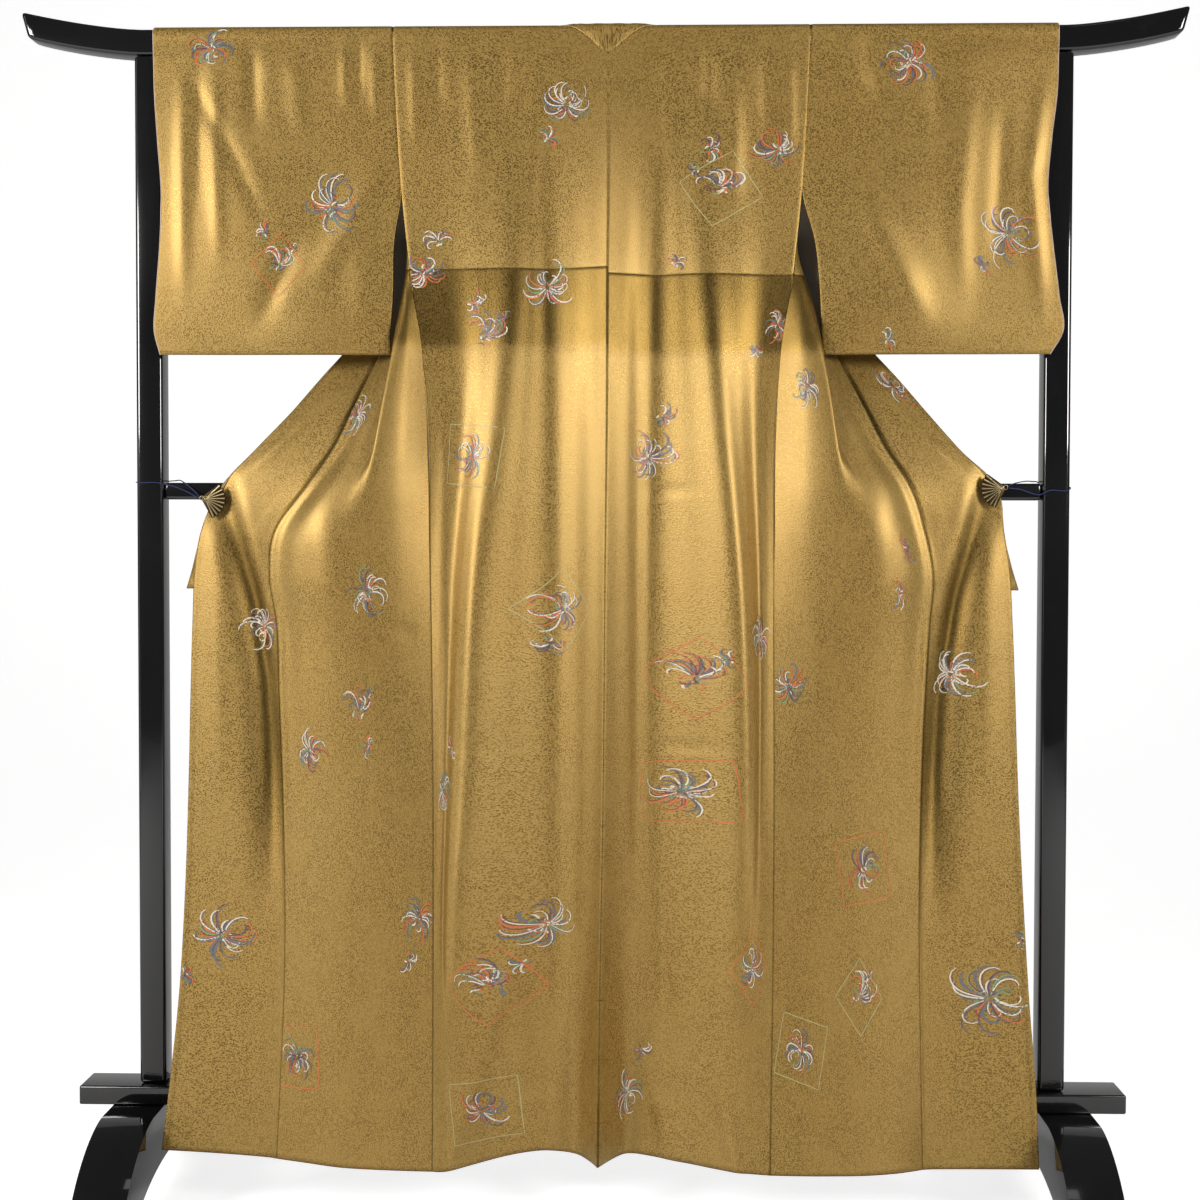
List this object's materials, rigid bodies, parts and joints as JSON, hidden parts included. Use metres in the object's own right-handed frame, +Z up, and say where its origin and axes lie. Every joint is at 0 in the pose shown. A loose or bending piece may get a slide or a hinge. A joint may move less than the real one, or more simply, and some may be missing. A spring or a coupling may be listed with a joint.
{
  "type": "silk kimono on a lacquered kimono stand",
  "caption": "Gold figured silk kimono hung by its sleeves over the top rail of a black lacquered stand, its front edges drawn out by brass fan clips tied to the posts.",
  "frame": {"origin": "the floor under the centre of the stand", "axes": "+X along the rail to the right as seen from the side where the garment's back faces, which is -Y; +Y towards the far side; +Z up"},
  "size_m": [1.658, 0.49, 1.71],
  "materials": {
    "black_lacquer": "high gloss black lacquer",
    "gold_silk": "figured satin silk",
    "brass": "antique",
    "blue_string": "twisted string"
  },
  "bodies": {
    "root": {"base_board": "black_lacquer", "body_left": "gold_silk", "body_right": "gold_silk", "clip_back_left": "brass", "clip_back_right": "brass", "clip_fan_left": "brass", "clip_fan_right": "brass", "clip_pin_left": "brass", "clip_pin_right": "brass", "clip_ring_left": "brass", "clip_ring_right": "brass", "collar": "gold_silk", "cross_bar": "black_lacquer", "leg_left": "black_lacquer", "leg_right": "black_lacquer", "okumi_left": "gold_silk", "okumi_right": "gold_silk", "post_left": "black_lacquer", "post_right": "black_lacquer", "sleeve_left": "gold_silk", "sleeve_right": "gold_silk", "string_left": "blue_string", "string_right": "blue_string", "top_rail": "black_lacquer"}
  },
  "joints": []
}
